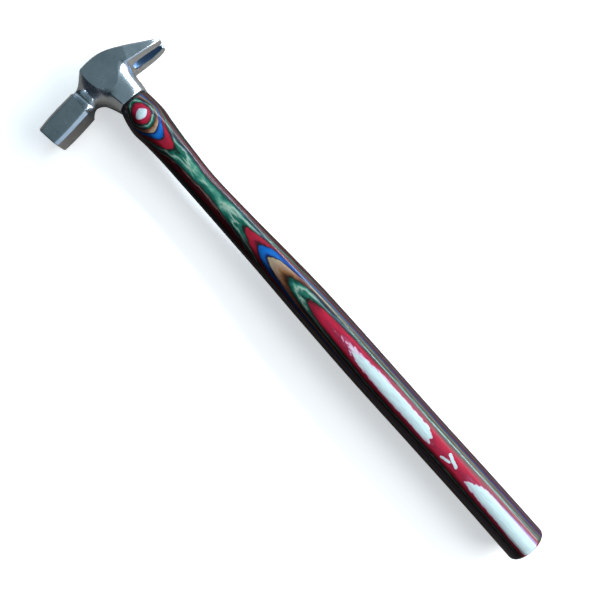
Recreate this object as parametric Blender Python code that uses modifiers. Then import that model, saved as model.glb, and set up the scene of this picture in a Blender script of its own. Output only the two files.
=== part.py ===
"""A nail-driving hammer: a forged steel head with a square face and a split claw, on a
handle carved from a stack of dyed veneers.

The hammer lies on its side. X runs along the handle, from the top of the head (-X) to the
butt (+X). Y runs along the head, from the striking face (-Y) to the claw (+Y). Z is up, out
of the cheek. The origin is under the middle of the eye, on the surface that it lies on.

Sizes below are in millimetres, and MM turns them into Blender's metres.
"""

import math
from collections import namedtuple

import bmesh
import bpy
from mathutils import Vector

MM = 0.001
SHARP_ANGLE = math.radians(40)  # edges that turn more than this are shaded as edges
MERGE = 0.00001  # metres

# Head. X is 0 half way along the eye.
CHEEK_HALF = 12.5  # half the head's thickness between its ground cheeks
HEAD_TOP = -14.2
MOUTH = 14.2  # where the eye opens towards the handle
HEAD_LEVELS = 2

# Eye: an oval hole, wider at the top, so that the wedges can spread the tenon in it.
EYE_MOUTH = (7.5, 6.55)  # half sizes along Y and Z
EYE_TOP = (8.6, 7.05)
EYE_CENTRE = 0.5  # Y of the eye's axis
EYE_PAST = 3.0  # how far its cutter runs past the head
SIDES_EYE = 32
TENON_CLEARANCE = 0.15
TENON_INTO = 2.0  # how far the tenon runs on into the handle

# Joint between head and handle: a bead of dark adhesive fills it.
BEAD_GAP = 0.1
BEAD_THICKNESS = 0.7
BEAD_OUTER = (8.75, 8.1)  # half sizes along Y and Z
BEAD_INNER = (7.75, 6.75)
SHOULDER = MOUTH + BEAD_THICKNESS + 2 * BEAD_GAP

# Handle: (X, half width along Y, Y of the centre line) and (X, half thickness along Z).
BUTT = 331.5
PLAN = (
    (SHOULDER, 9.15, 0.6),
    (20.6, 10.1, 0.1),
    (26.6, 10.6, -0.2),
    (34.7, 9.8, -0.3),
    (48.5, 8.85, -0.7),
    (72.7, 8.2, -1.4),
    (102.4, 8.85, -1.0),
    (130.0, 9.75, -0.4),
    (160.0, 10.65, -0.1),
    (200.0, 11.0, -0.2),
    (249.0, 10.85, 0.0),
    (298.0, 11.0, 0.35),
    (BUTT, 11.2, 0.25),
)
SIDE = (
    (SHOULDER, 8.3),
    (20.6, 9.5),
    (24.2, 10.2),
    (29.5, 8.65),
    (34.7, 6.95),
    (39.5, 6.1),
    (48.5, 5.25),
    (72.7, 4.6),
    (102.4, 5.25),
    (117.0, 6.1),
    (124.2, 6.95),
    (139.5, 7.85),
    (154.5, 8.7),
    (185.0, 9.55),
    (215.0, 10.05),
    (236.0, 10.05),
    (265.0, 9.8),
    (298.0, 10.15),
    (BUTT, 10.6),
)
WAIST = 72.7  # X of the thinnest place
BUTT_ROUND = 2.6  # how far the butt's edge is rounded over
BUTT_TURNS = (0, 30, 60, 85)  # degrees round that edge, from the side towards the end
SIDES_ROUND = 24  # sides of the handle's oval

# Veneers, from the outermost on the upper face to the outermost underneath.
GLUE_LINE = 0.05
SHEET = 0.865
SKIN = 1.2  # the two outermost sheets
THIN = 0.45  # the white sheets inside
STACK = (
    ("white", SKIN),
    ("crimson", SHEET),
    ("green", SHEET),
    ("tan", SHEET),
    ("blue", SHEET),
    ("red", SHEET),
    ("green", SHEET),
    ("white", THIN),
    ("crimson", 2 * SHEET - THIN),
    ("green", SHEET),
    ("tan", SHEET),
    ("blue", SHEET),
    ("red", SHEET),
    ("green", SHEET),
    ("white", THIN),
    ("crimson", 2 * SHEET - THIN),
    ("green", SHEET),
    ("tan", SHEET),
    ("blue", SHEET),
    ("red", SHEET),
    ("green", SHEET),
    ("white", SHEET),
    ("crimson", SHEET),
    ("green", SKIN),
)
STACK_HALF = sum(thickness for _, thickness in STACK) / 2
SHEET_SPARE = 5.0  # how far a sheet's block reaches past the handle before it is cut

# Wedges, driven into the tenon from the top.
WOOD_WEDGE = {"top": -15.0, "tip": 4.0, "thick": 3.8, "tip_thick": 0.6, "width": 30.0}
STEEL_WEDGE = {"top": -12.9, "tip": -4.0, "thick": 1.9, "tip_thick": 0.5, "width": 9.0}
STEEL_WEDGE_SPREAD = 3.9  # Y distance of each steel wedge from the eye's axis
WEDGE_GAP = 0.1
CROWN_SINK = 0.55  # how far the tenon's end lies under the corners of the head's top

# Colour, roughness, metallic
LOOKS = {
    "steel": ((0.42, 0.46, 0.5), 0.22, 1.0),
    "wedge_steel": ((0.3, 0.3, 0.31), 0.5, 1.0),
    "wedge_wood": ((0.62, 0.45, 0.27), 0.6, 0.0),
    "adhesive": ((0.02, 0.02, 0.022), 0.4, 0.0),
    "white": ((0.72, 0.76, 0.76), 0.25, 0.0),
    "crimson": ((0.5, 0.02, 0.07), 0.25, 0.0),
    "green": ((0.1, 0.36, 0.27), 0.25, 0.0),
    "tan": ((0.5, 0.34, 0.18), 0.25, 0.0),
    "blue": ((0.01, 0.11, 0.45), 0.25, 0.0),
    "red": ((0.4, 0.01, 0.03), 0.25, 0.0),
}


def clear_scene():
    for obj in list(bpy.data.objects):
        bpy.data.objects.remove(obj)


def collection(name):
    found = bpy.data.collections.new(name)
    bpy.context.scene.collection.children.link(found)
    return found


def material(name):
    found = bpy.data.materials.get(name)
    if found:
        return found
    colour, roughness, metallic = LOOKS[name]
    found = bpy.data.materials.new(name)
    found.use_nodes = True
    shader = found.node_tree.nodes["Principled BSDF"]
    shader.inputs["Base Color"].default_value = (*colour, 1.0)
    shader.inputs["Roughness"].default_value = roughness
    shader.inputs["Metallic"].default_value = metallic
    return found


def new_object(name, bm, group, look=None):
    """An object from a bmesh in millimetres, raised so that the lower cheek lies at Z 0."""
    for vertex in bm.verts:
        vertex.co = (vertex.co + Vector((0, 0, CHEEK_HALF))) * MM
    mesh = bpy.data.meshes.new(name)
    bm.to_mesh(mesh)
    bm.free()
    mesh.shade_smooth()
    mesh.set_sharp_from_angle(angle=SHARP_ANGLE)
    obj = bpy.data.objects.new(name, mesh)
    group.objects.link(obj)
    if look:
        mesh.materials.append(material(look))
    else:
        obj.hide_render = True
        obj.display_type = "WIRE"
    return obj


def boolean(obj, other, operation):
    modifier = obj.modifiers.new(operation.title(), "BOOLEAN")
    modifier.object = other
    modifier.operation = operation
    modifier.solver = "EXACT"


def smooth(table, x, column):
    """Value of a column at x, on a smooth curve through the table's rows."""
    rows = sorted(table)
    if x <= rows[0][0]:
        return rows[0][column]
    if x >= rows[-1][0]:
        return rows[-1][column]
    i = next(n for n in range(len(rows) - 1) if rows[n + 1][0] >= x)

    def slope(n):
        if n in (0, len(rows) - 1):
            return 0.0
        before = (rows[n][column] - rows[n - 1][column]) / (rows[n][0] - rows[n - 1][0])
        after = (rows[n + 1][column] - rows[n][column]) / (rows[n + 1][0] - rows[n][0])
        # A peak or a dip is level, so that the curve never overshoots its points.
        return 0.0 if before * after <= 0 else 2 * before * after / (before + after)

    (x0, x1) = (rows[i][0], rows[i + 1][0])
    step = x1 - x0
    t = (x - x0) / step
    return (
        (2 * t**3 - 3 * t**2 + 1) * rows[i][column]
        + (t**3 - 2 * t**2 + t) * step * slope(i)
        + (3 * t**2 - 2 * t**3) * rows[i + 1][column]
        + (t**3 - t**2) * step * slope(i + 1)
    )


def oval_loft(sections, sides):
    """A closed bmesh through oval sections (X, half width, half thickness, centre Y)."""
    bm = bmesh.new()
    rings = []
    for x, half_width, half_thick, centre in sections:
        ring = []
        for n in range(sides):
            angle = 2 * math.pi * (n + 0.5) / sides
            y = centre + half_width * math.cos(angle)
            ring.append(bm.verts.new((x, y, half_thick * math.sin(angle))))
        rings.append(ring)
    for first, second in zip(rings, rings[1:]):
        for n in range(sides):
            m = (n + 1) % sides
            bm.faces.new((first[n], first[m], second[m], second[n]))
    bm.faces.new(rings[0][::-1])
    bm.faces.new(rings[-1])
    bmesh.ops.recalc_face_normals(bm, faces=bm.faces)
    return bm


# ---------------------------------------------------------------- head

# Half sections of the head, from the striking face to the claw's tip: Y and X of the top
# and of the bottom, half thickness, chamfers at the top and at the bottom, and half the
# width of the claw's slot, which opens out towards the handle.
Station = namedtuple("Station", "y_top y_low x_top x_low half cut_top cut_low slot_top slot_low")
STATIONS = {
    "face": Station(-46.5, -45.0, -6.7, 6.2, 8.0, 1.7, 1.7, 0, 0),
    "block": Station(-36.5, -36.0, -8.5, 6.0, 8.1, 1.7, 1.7, 0, 0),
    "block_end": Station(-21.0, -21.6, -9.4, 4.4, 8.2, 1.8, 1.9, 0, 0),
    "shoulder": Station(-20.3, -18.6, -9.9, 3.5, 5.7, 1.7, 3.3, 0, 0),
    "neck": Station(-17.8, -17.0, -10.2, 2.9, 5.0, 1.4, 3.2, 0, 0),
    "root": Station(-14.2, -14.8, -11.3, 2.2, 8.8, 1.3, 2.8, 0, 0),
    "front": Station(-9.8, -9.8, -13.9, 4.6, 12.8, 1.1, 6.6, 0, 0),
    "eye_front": Station(-5.9, -6.3, -14.3, 5.0, 12.8, 1.1, 0.3, 0, 0),
    "eye_mid": Station(0.4, 0.2, -14.4, 5.0, 12.8, 1.1, 0.3, 0, 0),
    "eye_back": Station(5.8, 5.4, -13.4, 0.6, 12.8, 1.1, 0.4, 0, 0),
    "back": Station(11.0, 10.2, -11.1, -1.2, 12.8, 1.1, 0.6, 0, 0),
    "slot_root": Station(15.4, 11.8, -8.9, -0.7, 12.6, 1.1, 0.6, 0, 0),
    "slot_flare": Station(17.6, 13.4, -7.8, -0.3, 12.3, 1.0, 0.6, 1.5, 4.4),
    "claw": Station(25.0, 24.0, -3.8, 0.8, 11.2, 0.9, 0.5, 1.8, 4.6),
    "claw_end": Station(30.2, 30.2, -1.1, 1.2, 10.0, 0.5, 0.4, 1.7, 3.2),
    "tip": Station(32.8, 32.8, 0.0, 1.0, 7.4, 0.3, 0.3, 1.6, 1.7),
}
NAMES = list(STATIONS)
SOCKETED = ("front", "eye_front", "eye_mid", "eye_back", "back")
SLOTTED = NAMES[NAMES.index("slot_root") :]
TOP_CENTRE, TOP_MID, TOP_EDGE, SIDE_TOP, SIDE_LOW, LOW_EDGE, LOW_CENTRE = range(7)
CORNER_COLUMN = 2  # the socket's front corner among the points of its rings
TOP_MID_SHARE = 0.55  # where TOP_MID lies, from the middle plane to the top's edge

# The socket that reaches down to the handle starts from the bottoms of those sections.
# Each ring below has its X, then (Y, Z) from its front to its back.
SOCKET_START = {"front": (4.4, -13.0, 0.0), "back": (1.0, 11.0, 0.0)}
SOCKET_CORNER = {"front": (4.4, -11.2, 7.0), "back": (1.2, 10.5, 8.4)}
SOCKET_RINGS = (
    (9.5, ((-10.3, 0), (-9.4, 6.2), (-5.2, 11.7), (0.4, 11.8), (5.0, 11.6), (10.3, 7.6), (10.8, 0))),
    (MOUTH, ((-8.6, 0), (-7.9, 5.6), (-4.3, 9.9), (0.5, 10.1), (4.6, 9.9), (9.5, 6.4), (10.0, 0))),
)


def head_ring(name):
    """Half the section at a station, from the top's middle round to the bottom's."""
    at = STATIONS[name]

    def point(x, z):
        share = (x - at.x_top) / (at.x_low - at.x_top)
        return Vector((x, at.y_top + (at.y_low - at.y_top) * share, z))

    top_edge = at.half - at.cut_top
    ring = [
        point(at.x_top, at.slot_top),
        point(at.x_top, at.slot_top + TOP_MID_SHARE * (top_edge - at.slot_top)),
        point(at.x_top, top_edge),
        point(at.x_top + at.cut_top, at.half),
        point(at.x_low - at.cut_low, at.half),
        point(at.x_low, at.half - at.cut_low),
        point(at.x_low, at.slot_low),
    ]
    if name in SOCKET_START:
        ring[LOW_CENTRE] = Vector(SOCKET_START[name])
        ring[LOW_EDGE] = Vector(SOCKET_CORNER[name])
    return ring


def skin_stations(bm, rings):
    """Faces along the head, with a wall to the slot and an opening where the socket starts."""
    for here, there in zip(NAMES, NAMES[1:]):
        a, b = rings[here], rings[there]
        for k in range(LOW_CENTRE):
            if k == LOW_EDGE and here in SOCKETED[:-1]:
                continue
            bm.faces.new((a[k], a[k + 1], b[k + 1], b[k]))
        if here in SLOTTED:
            bm.faces.new((a[LOW_CENTRE], a[TOP_CENTRE], b[TOP_CENTRE], b[LOW_CENTRE]))
    for name in (NAMES[0], NAMES[-1]):
        top_centre, top_mid, top_edge, side_top, side_low, low_edge, low_centre = rings[name]
        bm.faces.new((top_centre, top_mid, low_edge, low_centre))
        bm.faces.new((top_mid, top_edge, low_edge))
        bm.faces.new((top_edge, side_top, side_low, low_edge))


def skin_socket(bm, rings):
    """Faces down the socket and across its mouth, and the outlines of the socket's rings."""
    loop = [rings[SOCKETED[0]][LOW_CENTRE]]
    loop += [rings[name][LOW_EDGE] for name in SOCKETED]
    loop += [rings[SOCKETED[-1]][LOW_CENTRE]]
    last = len(loop) - 1
    lower_loops = []
    for x, outline in SOCKET_RINGS:
        lower = [bm.verts.new((x, y, z)) for y, z in outline]
        for k in range(last):
            bm.faces.new((loop[k], loop[k + 1], lower[k + 1], lower[k]))
        lower_loops.append(lower)
        loop = lower
    half = last // 2
    for k in range(half - 1):
        bm.faces.new((loop[k], loop[k + 1], loop[last - 1 - k], loop[last - k]))
    bm.faces.new(loop[half - 1 : half + 2])
    return lower_loops


# How sharp the cage's edges stay: stations from, stations to, rows of the ring, amount.
CREASES = (
    ("face", "block_end", (TOP_EDGE, SIDE_TOP, SIDE_LOW, LOW_EDGE), 0.8),
    ("front", "tip", (TOP_EDGE, SIDE_TOP), 0.85),
    ("front", "eye_front", (SIDE_LOW,), 0.75),
    ("back", "tip", (SIDE_LOW, LOW_EDGE), 0.85),
    ("slot_root", "tip", (TOP_CENTRE, LOW_CENTRE), 0.9),
)
ROUND_CREASES = {"face": 0.85, "block_end": 1.0, "tip": 0.8}
FRONT_CREASE = 0.8  # round the front of the cheek, and on down the socket's front corner
MOUTH_CREASE = 0.9


def crease(bm, layer, first, second, amount):
    edge = bm.edges.get((first, second))
    if edge:
        edge[layer] = amount


def crease_head(bm, rings, mouth, socket_corner):
    layer = bm.edges.layers.float.new("crease_edge")
    for start, end, rows, amount in CREASES:
        run = NAMES[NAMES.index(start) : NAMES.index(end) + 1]
        for here, there in zip(run, run[1:]):
            for k in rows:
                crease(bm, layer, rings[here][k], rings[there][k], amount)
    for name, amount in ROUND_CREASES.items():
        for first, second in zip(rings[name], rings[name][1:]):
            crease(bm, layer, first, second, amount)
    for first, second in zip(mouth, mouth[1:]):
        crease(bm, layer, first, second, MOUTH_CREASE)
    corner = rings["front"][TOP_EDGE : SIDE_LOW + 1]
    corner += [rings["eye_front"][LOW_EDGE], *socket_corner]
    for first, second in zip(corner, corner[1:]):
        crease(bm, layer, first, second, FRONT_CREASE)


def head_cage():
    """The coarse half of the head, open at its middle plane."""
    bm = bmesh.new()
    rings = {name: [bm.verts.new(p) for p in head_ring(name)] for name in NAMES}
    skin_stations(bm, rings)
    socket = skin_socket(bm, rings)
    crease_head(bm, rings, socket[-1], [loop[CORNER_COLUMN] for loop in socket])
    bmesh.ops.recalc_face_normals(bm, faces=bm.faces)
    return bm


def eye_halves(x):
    """Half sizes of the eye along Y and Z at x."""
    share = (x - HEAD_TOP) / (MOUTH - HEAD_TOP)
    return [top + (mouth - top) * share for top, mouth in zip(EYE_TOP, EYE_MOUTH)]


def eye_cutter(group):
    """The oval hole, run a little past both ends of the head."""
    ends = (HEAD_TOP - EYE_PAST, MOUTH + EYE_PAST)
    sections = [(x, *eye_halves(x), EYE_CENTRE) for x in ends]
    return new_object("eye_cutter", oval_loft(sections, SIDES_EYE), group)


def ground_slab(group):
    """A slab as thick as the head, whose two sides grind the cheeks flat."""
    reach = 4 * CHEEK_HALF
    bm = bmesh.new()
    bmesh.ops.create_cube(bm, size=1.0)
    bmesh.ops.scale(bm, verts=bm.verts, vec=(2 * reach, 2 * reach, 2 * CHEEK_HALF))
    return new_object("ground_slab", bm, group)


def make_head(group, helpers):
    head = new_object("hammer_head", head_cage(), group, "steel")
    # The half is mirrored in the head's middle plane, which lies half a head above Z 0.
    middle = bpy.data.objects.new("head_middle", None)
    middle.location.z = CHEEK_HALF * MM
    helpers.objects.link(middle)
    mirror = head.modifiers.new("Mirror", "MIRROR")
    mirror.use_axis = (False, False, True)
    mirror.mirror_object = middle
    mirror.use_clip = True
    mirror.merge_threshold = MERGE
    subdivision = head.modifiers.new("Subdivision", "SUBSURF")
    subdivision.levels = HEAD_LEVELS
    subdivision.render_levels = HEAD_LEVELS
    boolean(head, ground_slab(helpers), "INTERSECT")
    boolean(head, eye_cutter(helpers), "DIFFERENCE")


# ---------------------------------------------------------------- handle


def handle_sections():
    """Sections of the carved handle below the head, with the butt's edge rounded over."""
    stops = [row[0] for row in SIDE[:-1]]
    sections = [
        (x, smooth(PLAN, x, 1), smooth(SIDE, x, 1), smooth(PLAN, x, 2)) for x in stops
    ]
    for turn in BUTT_TURNS:
        angle = math.radians(turn)
        x = BUTT - BUTT_ROUND * (1 - math.sin(angle))
        inset = BUTT_ROUND * (1 - math.cos(angle))
        sections.append((x, PLAN[-1][1] - inset, SIDE[-1][1] - inset, PLAN[-1][2]))
    return sections


def tenon_sections():
    """Sections of the tenon, which fills the eye less its clearance and enters the handle."""
    top, low = HEAD_TOP - EYE_PAST, SHOULDER + TENON_INTO
    return [
        (x, *(half - TENON_CLEARANCE for half in eye_halves(x)), EYE_CENTRE) for x in (top, low)
    ]


def make_tenon(helpers):
    """The tenon, with its end dressed to the curve of the head's top."""
    tenon = new_object("tenon_blank", oval_loft(tenon_sections(), SIDES_EYE), helpers)
    outline = [(STATIONS[name].x_top + CROWN_SINK, STATIONS[name].y_top) for name in SOCKETED]
    reach = 2 * MOUTH
    outline = [(reach, outline[0][1])] + outline + [(reach, outline[-1][1])]
    bm = bmesh.new()
    face = bm.faces.new([bm.verts.new((x, y, -reach)) for x, y in outline])
    made = bmesh.ops.extrude_face_region(bm, geom=[face])
    raised = [v for v in made["geom"] if isinstance(v, bmesh.types.BMVert)]
    bmesh.ops.translate(bm, verts=raised, vec=(0, 0, 2 * reach))
    bmesh.ops.recalc_face_normals(bm, faces=bm.faces)
    boolean(tenon, new_object("crown", bm, helpers), "INTERSECT")
    return tenon


def wedge_body(sizes, gap=0.0, top=None):
    """A wedge on the eye's axis, its thick end at the head's top and its thickness along Z.

    A pocket for it is wider by the gap all round, and runs on with the same taper to top.
    """
    taper = (sizes["tip_thick"] - sizes["thick"]) / (sizes["tip"] - sizes["top"])
    ends = (sizes["top"] if top is None else top, sizes["tip"] + gap)
    bm = bmesh.new()
    bmesh.ops.create_cube(bm, size=1.0)
    for vertex in bm.verts:
        x = ends[0] if vertex.co.x < 0 else ends[1]
        thickness = sizes["thick"] + taper * (x - sizes["top"])
        y = vertex.co.y * (sizes["width"] + 2 * gap)
        vertex.co = (x, EYE_CENTRE + y, vertex.co.z * (thickness + 2 * gap))
    return bm


def steel_wedge(side, **options):
    """A steel wedge set across the wooden one, with its thickness along Y."""
    bm = wedge_body(STEEL_WEDGE, **options)
    for vertex in bm.verts:
        x, y, z = vertex.co
        vertex.co = (x, EYE_CENTRE + side * STEEL_WEDGE_SPREAD - z, y - EYE_CENTRE)
    return bm


def make_wedges(group, tenon, pockets):
    """The wooden wedge is dressed with the tenon, and the steel ones are driven across it."""
    wedge = new_object("wooden_wedge", wedge_body(WOOD_WEDGE), group, "wedge_wood")
    boolean(wedge, tenon, "INTERSECT")
    for pocket in pockets:
        boolean(wedge, pocket, "DIFFERENCE")
    for side, name in ((-1, "steel_wedge_front"), (1, "steel_wedge_rear")):
        new_object(name, steel_wedge(side), group, "wedge_steel")


def make_blank(helpers, tenon):
    """The whole carved handle as one hidden solid, from which each sheet is cut."""
    blank = new_object("handle_blank", oval_loft(handle_sections(), SIDES_ROUND), helpers)
    boolean(blank, tenon, "UNION")
    return blank


def sheet_block(start, end, low, top):
    """A block of one sheet's thickness, wider than the handle."""
    width = 2 * STACK_HALF + SHEET_SPARE
    bm = bmesh.new()
    bmesh.ops.create_cube(bm, size=1.0)
    bmesh.ops.scale(bm, verts=bm.verts, vec=(end - start, width, top - low - GLUE_LINE))
    bmesh.ops.translate(bm, verts=bm.verts, vec=((start + end) / 2, 0, (top + low) / 2))
    return bm


def make_veneers(group, blank, wedge_cuts):
    """Each sheet of the stack, cut to the handle's shape.

    A sheet outside the waist's thickness is carved right through there, which leaves one
    piece in the swell under the head and another in the grip.
    """
    waist_half = smooth(SIDE, WAIST, 1)
    head_end, butt_end = HEAD_TOP - SHEET_SPARE, BUTT + SHEET_SPARE
    top = STACK_HALF
    for number, (colour, thickness) in enumerate(STACK, start=1):
        low = top - thickness
        nearest = max(0.0, -top, low)
        spans = {"": (head_end, butt_end)}
        if nearest > waist_half:
            spans = {"_swell": (head_end, WAIST), "_grip": (WAIST, butt_end)}
        for suffix, (start, end) in spans.items():
            name = f"veneer_{number:02d}_{colour}{suffix}"
            sheet = new_object(name, sheet_block(start, end, low, top), group, colour)
            boolean(sheet, blank, "INTERSECT")
            if nearest < STEEL_WEDGE["width"] / 2 + WEDGE_GAP:
                for cut in wedge_cuts:
                    boolean(sheet, cut, "DIFFERENCE")
        top = low


def make_bead(group, helpers):
    """The ring of adhesive between the head's mouth and the handle's shoulder."""
    near, far = MOUTH + BEAD_GAP, SHOULDER - BEAD_GAP
    sections = [(x, *BEAD_OUTER, EYE_CENTRE) for x in (near, far)]
    bead = new_object("adhesive_bead", oval_loft(sections, SIDES_EYE), group, "adhesive")
    past = BEAD_THICKNESS
    sections = [(x, *BEAD_INNER, EYE_CENTRE) for x in (near - past, far + past)]
    cutter = new_object("bead_cutter", oval_loft(sections, SIDES_EYE), helpers)
    boolean(bead, cutter, "DIFFERENCE")


def main():
    clear_scene()
    group = collection("nail_hammer")
    helpers = collection("cutters")
    past = WOOD_WEDGE["top"] - WEDGE_GAP
    pockets = [
        new_object(f"pocket{side:+d}", steel_wedge(side, gap=WEDGE_GAP, top=past), helpers)
        for side in (-1, 1)
    ]
    tenon = make_tenon(helpers)
    make_head(group, helpers)
    make_wedges(group, tenon, pockets)
    kerf = new_object("kerf", wedge_body(WOOD_WEDGE, WEDGE_GAP), helpers)
    make_veneers(group, make_blank(helpers, tenon), [kerf, *pockets])
    make_bead(group, helpers)


main()
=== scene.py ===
"""The visual model of the nail-driving hammer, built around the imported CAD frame.

The hammer lies on its side. X runs along the handle towards the butt, Y along the head
towards the claw, and Z up. Sizes are in millimetres, and MM turns them into metres.

The handle is one fine oval skin. It is cut along the wavy surfaces where its dyed veneers
are glued, and each veneer knows how deep in it each point lies, which drives its colour.
"""

import math
import random
from collections import namedtuple

import bmesh
import bpy
import numpy as np
from mathutils import Matrix, Vector


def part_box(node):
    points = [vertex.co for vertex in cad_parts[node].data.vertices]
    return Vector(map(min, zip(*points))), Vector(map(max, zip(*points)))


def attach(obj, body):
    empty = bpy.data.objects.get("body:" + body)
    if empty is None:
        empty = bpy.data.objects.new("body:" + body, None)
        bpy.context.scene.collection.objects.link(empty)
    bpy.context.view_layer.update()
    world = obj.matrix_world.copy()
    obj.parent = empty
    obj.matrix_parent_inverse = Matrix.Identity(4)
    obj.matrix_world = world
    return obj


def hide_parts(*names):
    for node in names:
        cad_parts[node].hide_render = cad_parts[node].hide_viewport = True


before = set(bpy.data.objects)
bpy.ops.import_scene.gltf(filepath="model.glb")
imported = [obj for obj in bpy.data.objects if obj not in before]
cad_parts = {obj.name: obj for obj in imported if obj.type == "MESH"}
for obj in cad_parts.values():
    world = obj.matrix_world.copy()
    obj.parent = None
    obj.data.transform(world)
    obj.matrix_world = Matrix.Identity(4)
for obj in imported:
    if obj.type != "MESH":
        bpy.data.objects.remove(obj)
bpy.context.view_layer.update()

MM = 0.001
head_low, head_high = (Vector(corner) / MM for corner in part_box("hammer_head"))
MIDDLE = (head_low.z + head_high.z) / 2  # height of the hammer's middle plane

# ------------ sizes

CHEEK_HALF = (head_high.z - head_low.z) / 2
HEAD_TOP = -14.2
MOUTH = head_high.x
HEAD_LEVELS = 4

EYE_MOUTH = (7.5, 6.55)
EYE_TOP = (8.6, 7.05)
EYE_CENTRE = 0.5
EYE_PAST = 3.0
EYE_SIDES = 128
TENON_CLEARANCE = 0.08

BEAD_GAP = 0.1
BEAD_THICKNESS = 0.7
BEAD_OUTER = (8.75, 8.1)  # half sizes along Y and Z
BEAD_INNER = (7.75, 6.75)
BEAD_TURN = 16  # points round the bead's own section
BEAD_SQUARENESS = 0.6  # power of its section: 1 is an ellipse, and less is squarer
SHOULDER = MOUTH + BEAD_THICKNESS + 2 * BEAD_GAP
SHOULDER_ROUND = 0.45
SHOULDER_ROWS = 5  # rings over the shoulder's rounded edge

BUTT = 331.5
BUTT_ROUND = 2.6
BUTT_ROWS = 9
# (X, half width along Y, Y of the centre line)
PLAN = (
    (SHOULDER, 9.15, 0.6), (20.6, 10.1, 0.1), (26.6, 10.6, -0.2),
    (34.7, 9.8, -0.3), (48.5, 8.85, -0.7), (72.7, 8.2, -1.4),
    (102.4, 8.85, -1.0), (130.0, 9.75, -0.4), (160.0, 10.65, -0.1),
    (200.0, 11.0, -0.2), (249.0, 10.85, 0.0), (298.0, 11.0, 0.35),
    (BUTT, 11.2, 0.25),
)
# (X, half thickness along Z), in front of and behind the ridge across the swell
SWELL_SIDE = ((SHOULDER, 8.2), (20.0, 9.3), (24.2, 10.25))
GRIP_SIDE = (
    (24.2, 10.25), (29.5, 8.65), (34.7, 6.95), (39.5, 6.1),
    (48.5, 5.25), (72.7, 4.6), (102.4, 5.25), (117.0, 6.1),
    (124.2, 6.95), (139.5, 7.85), (154.5, 8.7), (185.0, 9.55),
    (215.0, 10.05), (236.0, 10.05), (265.0, 9.8), (298.0, 10.15),
    (BUTT, 10.6),
)
WAIST = 72.7
RIDGE = SWELL_SIDE[-1][0]

SHEET = 0.865
SKIN = 1.2
THIN = 0.45
DEEPER = tuple((colour, SHEET) for colour in ("green", "tan", "blue", "red", "green"))
PALE_PAIR = (("white", THIN), ("crimson", 2 * SHEET - THIN))
STACK = (("white", SKIN), ("crimson", SHEET), *DEEPER, *PALE_PAIR, *DEEPER, *PALE_PAIR, *DEEPER)
STACK += (("white", SHEET), ("crimson", SHEET), ("green", SKIN))
STACK_HALF = sum(thickness for _, thickness in STACK) / 2
# Heights of the glue lines before they wander, from the top of the stack to the bottom
LEVELS = STACK_HALF - np.concatenate(([0.0], np.cumsum([thickness for _, thickness in STACK])))

WOOD_WEDGE = {"top": -15.0, "tip": 4.0, "thick": 3.8, "tip_thick": 0.6, "width": 30.0}
STEEL_WEDGE = {"top": -12.9, "tip": -4.0, "thick": 1.9, "tip_thick": 0.5, "width": 9.0}
STEEL_WEDGE_SPREAD = 3.9
WEDGE_GAP = 0.05
CROWN_SINK = 0.45  # how far the tenon's end lies under the head's top

# How finely the handle's skin is divided
AROUND = 128
ALONG = 0.75
TENON_ROWS = 14
CAP_SCALES = np.linspace(0, 1, 17)[1:]
WELD = 0.001  # slivers thinner than this, left by the slicing, are welded away
ON_PLANE = 1e-5  # how near a glue line's level a vertex counts as lying on it
LEAST_SHEET = 0.12  # no sheet is pinched thinner than this by its wandering glue lines

HEAD_WELD = 0.01  # how near its middle plane the head's halves are joined
HEAD_SHARP = 38  # edges of the head steeper than this, in degrees, stay sharp
WOOD_SHARP = 30
STEEL_SHARP = 40
STEEL_EDGE = 0.12  # how far the steel wedges' edges are rounded


# ------------ curves


def smooth(table, x, column):
    """Values of a column at x, on a smooth curve through the table's rows that never overshoots."""
    rows = np.array(table, float)
    places, values = rows[:, 0], rows[:, column]
    chords = np.diff(values) / np.diff(places)
    slopes = np.concatenate([chords[:1], np.zeros(len(chords) - 1), chords[-1:]])
    before, after = chords[:-1], chords[1:]
    same = before * after > 0
    total = np.where(same, before + after, 1.0)
    slopes[1:-1] = np.where(same, 2 * before * after / total, 0.0)
    x = np.clip(x, places[0], places[-1])
    i = np.clip(np.searchsorted(places, x, side="right") - 1, 0, len(places) - 2)
    step = places[i + 1] - places[i]
    t = (x - places[i]) / step
    return (
        (2 * t**3 - 3 * t**2 + 1) * values[i]
        + (t**3 - 2 * t**2 + t) * step * slopes[i]
        + (3 * t**2 - 2 * t**3) * values[i + 1]
        + (t**3 - t**2) * step * slopes[i + 1]
    )


def half_width(x):
    return smooth(PLAN, x, 1)


def centre_line(x):
    return smooth(PLAN, x, 2)


def half_thickness(x):
    return np.where(x < RIDGE, smooth(SWELL_SIDE, x, 1), smooth(GRIP_SIDE, x, 1))


def eye_halves(x):
    """Half sizes of the eye along Y and Z at x."""
    share = (x - HEAD_TOP) / (MOUTH - HEAD_TOP)
    return [top + (mouth - top) * share for top, mouth in zip(EYE_TOP, EYE_MOUTH)]


# ------------ meshes


def add_object(name, data):
    obj = bpy.data.objects.new(name, data)
    bpy.context.scene.collection.objects.link(obj)
    return obj


def new_object(name, bm):
    """An object from a bmesh in millimetres about the hammer's middle plane."""
    for vertex in bm.verts:
        vertex.co = (vertex.co + Vector((0, 0, MIDDLE))) * MM
    mesh = bpy.data.meshes.new(name)
    bm.to_mesh(mesh)
    bm.free()
    return add_object(name, mesh)


def remove(objects):
    for obj in objects:
        bpy.data.objects.remove(obj)


def boolean(obj, other, operation):
    modifier = obj.modifiers.new(operation.title(), "BOOLEAN")
    modifier.object = other
    modifier.operation = operation
    modifier.solver = "EXACT"


def apply_modifiers(obj):
    graph = bpy.context.evaluated_depsgraph_get()
    mesh = bpy.data.meshes.new_from_object(obj.evaluated_get(graph))
    obj.modifiers.clear()
    obj.data = mesh


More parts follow.
